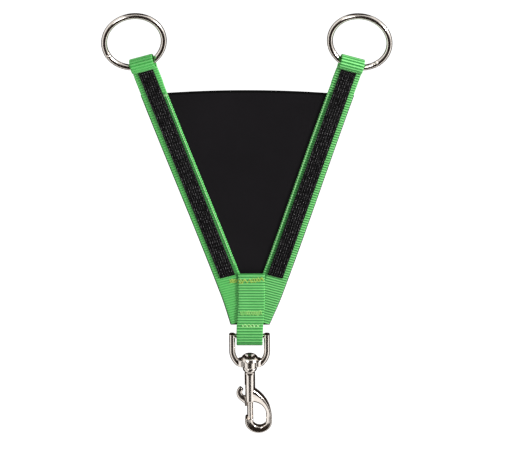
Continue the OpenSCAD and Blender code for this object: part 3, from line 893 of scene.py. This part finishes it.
# Each row's level, depth, left and right ends in mm about that level, legs of its two passes, and height.
tack_rows = (
    ("upper", strap_sink, (-20.6, -2.0), (-13.4, -1.2), (5, 5), 4.4 * MM),
    ("upper", centre_sink, (-12.2, -1.1), (12.2, 1.5), (12, 9), 5.0 * MM),
    ("middle", centre_sink, (-10.2, 0), (10.6, 0), (13, 13), 5.4 * MM),
    ("lower", centre_sink, (-8.2, 0), (9.0, 0), (5, 5), 3.6 * MM),
)


def zigzag(name, left, right, legs, height, start, jitter):
    """One pass of thread up and down from left to right across a strap."""
    run = []
    for n in range(legs + 1):
        point = left.lerp(right, n / legs)
        point.x += jitter.uniform(-stray_across, stray_across)
        point.z += height / 2 * (1 if (n + start) % 2 else -1) + jitter.uniform(-stray_along, stray_along)
        run.append(point)
    line = []
    for a, b in zip(run, run[1:]):
        for t in (0.0, 0.15, 0.35, 0.65, 0.85):
            point = a.lerp(b, t)
            point.y -= tack_rise * math.sin(math.pi * t) ** 0.5
            line.append(point)
    return thread_line(name, line + [run[-1]])


def copy_of(piece, name):
    """A copy of a piece with its own mesh."""
    copy = bpy.data.objects.new(name, piece.data.copy())
    bpy.context.scene.collection.objects.link(copy)
    return copy


jitter = random.Random(5)
tack_passes = {level: [] for level in tack_z}
for n in range(2):
    for level, depth, left, right, legs, height in tack_rows:
        ends = [Vector((x * MM, depth, tack_z[level] + z * MM)) for x, z in (left, right)]
        tack_passes[level].append(zigzag(f"{level}_pass_{n}", *ends, legs[n], height, n, jitter))
to_back = Matrix.Translation((0, panel_thick - webbing_thick, 0)) @ Matrix.Scale(-1, 4, (0, 1, 0))
for level, passes in tack_passes.items():
    tack = joined(passes, level + "_bar_tack")
    thread = thread_material(level + "_tack_thread", *tack_colours[level])
    back = copy_of(tack, level + "_bar_tack_back")
    fitted(tack, thread, "bib", "thread", level + "_junction_stitching")
    back.data.transform(to_back)
    back.data.flip_normals()
    fitted(back, thread, "bib", "thread")

# Swivel bolt snap
# Zinc die castings, polished and nickel plated, which rounds their edges: a D-shaped eye riveted to
# a barrel with a hook, so that it swivels, and a sliding bolt with a thumb lever that a spring shuts.
eye_in = 13.6 * MM
eye_out = 19.6 * MM
eye_bar_r = 2.25 * MM
eye_thick = 2.8 * MM
eye_straight = bar_z - 17 * MM
arm_r = 23.44 * MM
arm_turn = math.radians(46.5)
lug_half = 12.3 * MM
lug_high = 6.66 * MM
boss_r = 7.5 * MM
boss_wide = 1.5
boss_deep = 0.58
boss_power = 0.62
drum_deep = 0.97
boss_low = bar_z - 34.0 * MM
boss_high = bar_z - 26.6 * MM
boss_bore_r = 3.27 * MM
rivet_r = 3.2 * MM
rivet_low = bar_z - 40.7 * MM
rivet_neck = bar_z - 26.3 * MM
rivet_dimple = bar_z - 25.0 * MM
flange_r = 6.9 * MM
flange_lip_r = 6.0 * MM
flange_top = bar_z - 34.3 * MM
flange_low = flange_top - 3.6 * MM
flange_round = 1.0 * MM
neck_r = 4.6 * MM
neck_high = 1.5 * MM
barrel_r = 5.15 * MM
barrel_top = bar_z - 41.9 * MM
barrel_end = bar_z - 73.9 * MM
hook_thick = 4.1 * MM
hook_reach = 21.0 * MM
hook_in = 15.0 * MM
hook_bend_r = 13.1 * MM
hook_bend = 1.09 * math.pi
hook_z = bar_z - 97.0 * MM
tip_top = bar_z - 93.4 * MM
throat_r = 6.0 * MM
throat_z = bar_z - 97.4 * MM
throat_top_r = 12.8 * MM
throat_top_z = bar_z - 87.9 * MM
shoulder_r = 42.6 * MM
shoulder_z = bar_z - 94.5 * MM
shoulder_start = math.radians(58)
bore_low = bar_z - 95.0 * MM
bore_top = bar_z - 42.4 * MM
bore_r = 3.04 * MM
slot_top = bar_z - 55.6 * MM
slot_half = 2.3 * MM
bolt_r = 2.95 * MM
lever_x = -3.0 * MM
lever_z = bar_z - 65.9 * MM
lever_r = 10.0 * MM
lever_turn = (math.radians(131), math.radians(225))
bite_r = 4.9 * MM
bite_x = lever_x + 0.4 * MM
bite_z = lever_z + 0.9 * MM
bite_turn = (math.radians(137), math.radians(235))
lever_thick = 2.0 * MM
lever_root = 2.2 * MM
root_x = lever_x - 1.0 * MM
lever_low = bar_z - 79.9 * MM
lever_high = bar_z - 68.9 * MM
spring_r = 2.37 * MM
spring_wire_r = 0.35 * MM
spring_turns = 7
spring_steps = 20
spring_low = bar_z - 61.4 * MM
spring_high = bar_z - 42.9 * MM
spring_colour = (0.46, 0.46, 0.47, 1)
spring_dark = (0.30, 0.30, 0.31, 1)
casting_voxel = 0.28 * MM
bolt_voxel = 0.22 * MM
cast_corner = 0.5 * MM
head_corner = 0.6 * MM
near_axis = MM / 20
cut_past = MM

# Radius of the rivet's head and depth below the eye's bar, in mm, from its rim in to the dimple.
rivet_head = ((8.2, 26.0), (8.2, 25.4), (7.2, 24.0), (5.8, 23.1), (4.4, 23.6), (2.4, 24.7))


def lathe(name, profile, corner):
    """Turns a profile of radius and height about the snap's axis, its corners eased."""
    sides = 64
    turns = [2 * math.pi * k / sides for k in range(sides)]
    return tube(name, [[(r * math.cos(a), r * math.sin(a), z) for a in turns]
                       for r, z in eased([Vector(p) for p in profile], corner)])


def full(share, power):
    """Fills out a circle's sine or cosine towards a square with rounded corners."""
    return math.copysign(abs(share) ** power, share)


def oval_bar(name, edges, thick, power=0.70, slant=0.0):
    """A bar of oval section between two edges, seen from the front."""
    sides = 32
    turns = [2 * math.pi * k / sides for k in range(sides)]
    section = [(full(math.cos(a), power), full(math.sin(a), power)) for a in turns]
    rings = []
    for one, other in edges:
        middle, half = (one + other) / 2, (other - one) / 2
        rings.append([(middle.x + half.x * u, thick * v * (1 + slant * u), middle.y + half.y * u)
                      for u, v in section])
    return tube(name, rings)


def arc(x, z, radius, start, end, count):
    """Points on an arc seen from the front, angles from +X towards +Z."""
    turns = [start + (end - start) * n / count for n in range(count + 1)]
    return [Vector((x + radius * math.cos(a), z + radius * math.sin(a))) for a in turns]


def straight(x, start, end, count):
    """Points up or down a line, without its end."""
    return [Vector((x, start + (end - start) * n / count)) for n in range(count)]


def slanted(start, end, count):
    """Points along a line, without its start."""
    return [start.lerp(end, (n + 1) / count) for n in range(count)]


def cast(name, pieces, voxel, rounds):
    """Runs overlapping pieces together into one casting, its edges and joints rounded."""
    piece = joined(pieces, name)
    apply_modifier(piece, "REMESH", mode="VOXEL", voxel_size=voxel)
    apply_modifier(piece, "SMOOTH", factor=0.5, iterations=rounds)
    return piece


def cut_away(piece, cutter):
    apply_modifier(piece, "BOOLEAN", operation="DIFFERENCE", object=cutter, solver="EXACT")
    bpy.data.objects.remove(cutter)


def round_bar(radius, low, high):
    """A cylinder on the snap's axis."""
    select_none()
    bpy.ops.mesh.primitive_cylinder_add(vertices=48, radius=radius, depth=high - low,
                                        location=(0, 0, (low + high) / 2))
    bpy.ops.object.transform_apply(location=True, rotation=True, scale=True)
    return bpy.context.object


snap_nickel = plated_material("snap_nickel", nickel_colour, nickel_dark, least=0.08, most=0.24)
outer = straight(eye_out, bar_z + eye_bar_r, eye_straight, 8)
outer += arc(eye_out - arm_r, eye_straight, arm_r, 0, -arm_turn, 16)
inner = straight(eye_in, bar_z + eye_bar_r, eye_straight, 8)
inner += arc(eye_out - arm_r, eye_straight, arm_r - eye_out + eye_in, 0, -arm_turn, 16)
arms = [oval_bar("eye_arm", list(zip(outer, inner)), eye_thick, power=0.88) for n in range(2)]
arms[1].data.transform(Matrix.Scale(-1, 4, (1, 0, 0)))
arms[1].data.flip_normals()
top_bar = round_bar(eye_bar_r, -eye_in - eye_bar_r, eye_in + eye_bar_r)
top_bar.data.transform(Matrix.Translation((0, 0, bar_z)) @ sideways)
across = [lug_half * n / 10 for n in range(-10, 11)]
lug_edges = [(Vector((x, boss_low)), Vector((x, boss_low + lug_high))) for x in across]
lugs = oval_bar("lugs", lug_edges, eye_thick)
boss_profile = [(near_axis, boss_low), (boss_r, boss_low), (boss_r, boss_high), (near_axis, boss_high)]
drum = lathe("drum", boss_profile, cast_corner)
drum.data.transform(Matrix.Scale(drum_deep, 4, (0, 1, 0)))
boss = lathe("boss", boss_profile, cast_corner)
for vertex in boss.data.vertices:
    spoke = Vector((vertex.co.x, vertex.co.y))
    wide, deep = (full(share, boss_power) for share in spoke.normalized())
    vertex.co.x = boss_wide * spoke.length * wide
    vertex.co.y = boss_deep * spoke.length * deep
eye = cast("snap_eye", arms + [top_bar, lugs, boss, drum], casting_voxel, rounds=5)
cut_away(eye, round_bar(boss_bore_r, boss_low - cut_past, boss_high + cut_past))
fitted(eye, snap_nickel, "eye", "nickel", "swivel_eye")

rivet_profile = [(near_axis, rivet_low), (rivet_r, rivet_low), (rivet_r, rivet_neck)]
rivet_profile += [(r * MM, bar_z - depth * MM) for r, depth in rivet_head]
rivet = lathe("snap_rivet", rivet_profile + [(near_axis, rivet_dimple)], head_corner)
fitted(rivet, snap_nickel, "snap", "nickel", "swivel_rivet")

barrel = lathe("barrel", [
    (near_axis, flange_top), (flange_lip_r, flange_top), (flange_r, flange_top - flange_round),
    (flange_r, flange_low), (neck_r, barrel_top + neck_high), (barrel_r, barrel_top),
    (barrel_r, barrel_end), (near_axis, barrel_end),
], cast_corner)
outer = arc(hook_reach - shoulder_r, shoulder_z, shoulder_r, shoulder_start, 0, 18)
outer += straight(hook_reach, shoulder_z, hook_z, 4)[1:]
outer += arc(hook_reach - hook_bend_r, hook_z, hook_bend_r, 0, -hook_bend, 34)
inner = arc(hook_in - throat_top_r, throat_top_z, throat_top_r, math.pi / 2, 0, 18)
inner += straight(hook_in, throat_top_z, throat_z, 4)[1:]
inner += arc(hook_in - throat_r, throat_z, throat_r, 0, -math.pi, 30)
inner += straight(hook_in - 2 * throat_r, throat_z, tip_top, 4)
hook = oval_bar("hook", list(zip(outer, inner)), hook_thick, power=0.5, slant=-0.16)
snap = cast("snap_casting", [barrel, hook], casting_voxel, rounds=5)
cut_away(snap, round_bar(bore_r, bore_low, bore_top))
slot_size = (2 * barrel_r, 2 * slot_half, slot_top - barrel_end + 2 * cut_past)
cut_away(snap, block("slot", slot_size, (-barrel_r, 0, (slot_top + barrel_end) / 2 - cut_past)))
fitted(snap, snap_nickel, "snap", "nickel", "snap_body")

plain_bolt = copy_of(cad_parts["bolt"], "plain_bolt")
edit(plain_bolt)
bpy.ops.mesh.remove_doubles(threshold=1e-6)
done_editing()
bolt = cast("snap_bolt", [plain_bolt], bolt_voxel, rounds=8)
fitted(bolt, snap_nickel, "bolt", "nickel", "bolt")

outer = arc(lever_x, lever_z, lever_r, *lever_turn, 20)
outer += slanted(outer[-1], Vector((lever_x, lever_low)), 6)
inner = arc(bite_x, bite_z, bite_r, *bite_turn, 20)
inner += slanted(inner[-1], Vector((lever_x, lever_high)), 6)
claw = oval_bar("claw", list(zip(outer, inner)), lever_thick)
root = block("root", (lever_root, 2 * lever_thick, lever_high - lever_low),
             (root_x, 0, (lever_low + lever_high) / 2))
lever = cast("snap_lever", [claw, root], bolt_voxel, rounds=5)
cut_away(lever, round_bar(bolt_r, lever_low - cut_past, lever_high + cut_past))
fitted(lever, snap_nickel, "bolt", "nickel", "thumb_lever")

coil = []
for n in range(spring_turns * spring_steps + 1):
    t = n / (spring_turns * spring_steps)
    a = 2 * math.pi * spring_turns * t
    coil.append(Vector((spring_r * math.cos(a), spring_r * math.sin(a),
                        spring_low + (spring_high - spring_low) * t)))
spring = thread_line("snap_spring", coil, spring_wire_r)
spring_steel = plated_material("spring_steel", spring_colour, spring_dark, least=0.22, most=0.38)
fitted(spring, spring_steel, "snap", "spring_steel", "bolt_spring")
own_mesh(spring)

# Studio
# A white floor well below the hanging part, a white surround, a soft lamp that grazes the webbing from
# the right, weaker ones from the left and behind, and dark cloths that only polished metal mirrors.
scene = bpy.context.scene
scene.view_settings.view_transform = "Standard"
look_at = Vector((7.6, 0, -206.3)) * MM
look_down = math.radians(33.5)
look_aside = math.radians(1.0)
look_roll = math.radians(0.5)
camera_far = 12.16
look = Vector((-math.sin(look_aside) * math.cos(look_down), math.cos(look_aside) * math.cos(look_down),
               -math.sin(look_down)))
camera = bpy.data.objects.new("camera", bpy.data.cameras.new("camera"))
scene.collection.objects.link(camera)
camera.data.lens = 900
camera.data.sensor_width = 36
camera.data.clip_end = 100
camera.location = look_at - look * camera_far
camera.rotation_mode = "QUATERNION"
camera.rotation_quaternion = look.to_track_quat("-Z", "Y") @ Quaternion((0, 0, 1), -look_roll)
scene.camera = camera

floor_z = -1.45
floor_grey = (0.30, 0.30, 0.30, 1)
floor_glow = 0.88
select_none()
bpy.ops.mesh.primitive_plane_add(size=40, location=(0, 0, floor_z))
floor = bpy.context.object
floor.name = "floor"


def seen_white(tree):
    """1 for what the camera, a mirror or clear glass sees."""
    path = add_node(tree, "ShaderNodeLightPath")
    seen = maths(tree, "MAXIMUM", path.outputs["Is Camera Ray"], path.outputs["Is Glossy Ray"])
    return maths(tree, "MAXIMUM", seen, path.outputs["Is Transmission Ray"])


paper, tree, shader = new_material(
    "floor_paper", Base_Color=floor_grey, Roughness=0.9, Specular_IOR_Level=0.0
)
glow = add_node(tree, "ShaderNodeEmission", {"Strength": times(tree, seen_white(tree), floor_glow)})
total = add_node(tree, "ShaderNodeAddShader", {0: shader.outputs[0], 1: glow.outputs[0]})
feed(tree, tree.nodes["Material Output"], Surface=total.outputs[0])
floor.data.materials.append(paper)

world = bpy.data.worlds.new("surround")
scene.world = world
world.use_nodes = True
tree = world.node_tree
ambient = 0.36
level = maths(tree, "ADD", ambient, times(tree, seen_white(tree), 1 - ambient))
feed(tree, tree.nodes["Background"], Strength=level)
tree.nodes["Background"].inputs["Color"].default_value = (1, 1, 1, 1)


def lamp(name, place, size, power):
    """A square soft lamp, turned towards the part."""
    made = bpy.data.objects.new(name, bpy.data.lights.new(name, "AREA"))
    scene.collection.objects.link(made)
    made.data.size = size
    made.data.energy = power
    made.location = Vector(place)
    made.rotation_mode = "QUATERNION"
    made.rotation_quaternion = (look_at - made.location).to_track_quat("-Z", "Y")
    return made


lamp("key_lamp", (2.04, -0.86, 0.43), size=0.5, power=78)
lamp("fill_lamp", (-1.0, -1.7, 1.3), size=1.2, power=20)
back_lamp = lamp("back_lamp", (-0.9, 2.1, 0.7), size=1.0, power=34)
back_lamp.visible_glossy = False

# Cloths on a globe about the part, and openings in them for the lamps: a direction and a half angle each.
cloth_r = 1.15
cloth_dark = (0.024, 0.017, 0.013, 1)
cloths = (
    (Vector((0, -0.985, 0.174)), math.radians(57.5)),
    (look, math.radians(78)),
    (Vector((0, 0.37, 0.93)), math.radians(28)),
)
openings = (
    (Vector((0.885, -0.375, 0.278)), math.radians(24)),
    (Vector((-0.42, -0.70, 0.58)), math.radians(13)),
    (look, math.radians(20)),
)
drape_black = new_material("drape_black", Base_Color=cloth_dark, Roughness=1.0, Specular_IOR_Level=0.0)[0]
select_none()
bpy.ops.mesh.primitive_uv_sphere_add(segments=160, ring_count=80, radius=cloth_r, location=look_at)
drape = bpy.context.object
drape.name = "drape"
edit(drape)
bpy.ops.mesh.select_all(action="DESELECT")
done_editing()
for face in drape.data.polygons:
    way = face.center.normalized()
    hidden = any(way.angle(middle) < reach for middle, reach in cloths)
    opened = any(way.angle(middle) < reach for middle, reach in openings)
    face.select = opened or not hidden
bpy.ops.object.mode_set(mode="EDIT")
bpy.ops.mesh.delete(type="FACE")
done_editing()
drape.data.materials.append(drape_black)
for ray in ("camera", "diffuse", "transmission", "volume_scatter", "shadow"):
    setattr(drape, "visible_" + ray, False)

bpy.context.view_layer.update()
